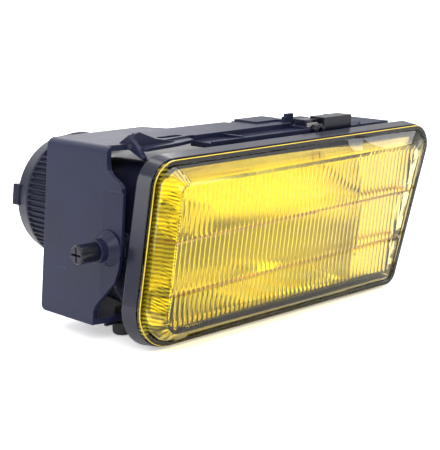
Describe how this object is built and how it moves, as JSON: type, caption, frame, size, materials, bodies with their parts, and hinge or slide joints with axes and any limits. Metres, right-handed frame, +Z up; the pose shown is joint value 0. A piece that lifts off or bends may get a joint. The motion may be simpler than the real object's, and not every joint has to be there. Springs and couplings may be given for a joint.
{
  "type": "fog light",
  "caption": "Rectangular yellow fog light with a fluted lens, tilting housing in a moulded mounting frame, knurled rear cap and side locating peg.",
  "frame": {"origin": "centre of the lamp outline seen from above, on the surface it stands on", "axes": "+X along the lens towards the inboard end, -Y the way the lamp shines, +Z up"},
  "size_m": [0.2194, 0.127, 0.0936],
  "materials": {
    "black_frame": "satin moulded black plastic",
    "black_pin": "fine black moulded plastic",
    "black_gloss": "glossy black plastic",
    "black_cap": "satin black plastic",
    "black_rubber": "matt",
    "yellow_lens": "clear yellow, polished outside and fluted inside",
    "clear_glass": "clear",
    "mirror_coating": "metallised",
    "bright_shield": "bright",
    "zinc_steel": "zinc plated",
    "spring_steel": "drawn wire",
    "tungsten": "drawn wire",
    "ceramic_white": "glazed white",
    "contact_brass": "bright",
    "red_lead": "soft insulation",
    "brown_lead": "soft insulation",
    "white_nylon": "natural nylon"
  },
  "bodies": {
    "frame": {"mounting_frame": "black_frame", "left_pivot_pin": "black_pin", "right_pivot_pin": "black_pin", "fixing_sleeves": "zinc_steel", "rubber_buffer": "black_rubber", "tab_clip": "black_pin"},
    "lamp": {"lamp_housing": "black_gloss", "lens": "yellow_lens", "lens_gasket": "black_rubber", "reflector": "mirror_coating", "reflector_screws": "zinc_steel", "bulb_shield": "bright_shield", "bulb_glass": "clear_glass", "bulb_filament": "tungsten", "bulb_base": "zinc_steel", "bulb_insulator": "ceramic_white", "bulb_contact": "contact_brass", "bulb_holder_plate": "zinc_steel", "clip_brackets": "zinc_steel", "connector_socket": "black_pin", "connector_pins": "contact_brass", "supply_terminal": "contact_brass", "supply_lead": "red_lead", "earth_lead": "brown_lead", "vent_elbow": "black_rubber", "pivot_bushes": "white_nylon", "adjuster_nut": "white_nylon"},
    "adjuster": {"adjuster_screw": "black_pin", "adjuster_clips": "spring_steel"},
    "bulb_clip": {"bulb_spring_clip": "spring_steel"},
    "cap_slider": {"cap_seal": "black_rubber"},
    "cap": {"rear_cap": "black_cap"}
  },
  "joints": [
    {"name": "lamp_tilt", "type": "hinge", "parent": "frame", "child": "lamp", "pos_m": [0.00331, -0.03048, 0.0441], "axis": [1, 0, 0], "range_deg": [-3, 3]},
    {"name": "adjuster_turn", "type": "hinge", "parent": "frame", "child": "adjuster", "pos_m": [0.03632, -0.03048, 0.0851], "axis": [0, 1, 0], "range_deg": [-390, 390]},
    {"name": "bulb_clip_swing", "type": "hinge", "parent": "lamp", "child": "bulb_clip", "pos_m": [-0.04498, 0.01502, 0.0673], "axis": [1, 0, 0], "range_deg": [0, 65]},
    {"name": "cap_pull", "type": "slide", "parent": "lamp", "child": "cap_slider", "axis": [0, 1, 0], "range_m": [0, 0.03]},
    {"name": "cap_twist", "type": "hinge", "parent": "cap_slider", "child": "cap", "pos_m": [-0.04498, 0.04452, 0.0508], "axis": [0, 1, 0], "range_deg": [0, 45]}
  ],
  "couplings": [
    {"joint": "adjuster_turn", "follows": "lamp_tilt", "ratio": 128.81}
  ]
}
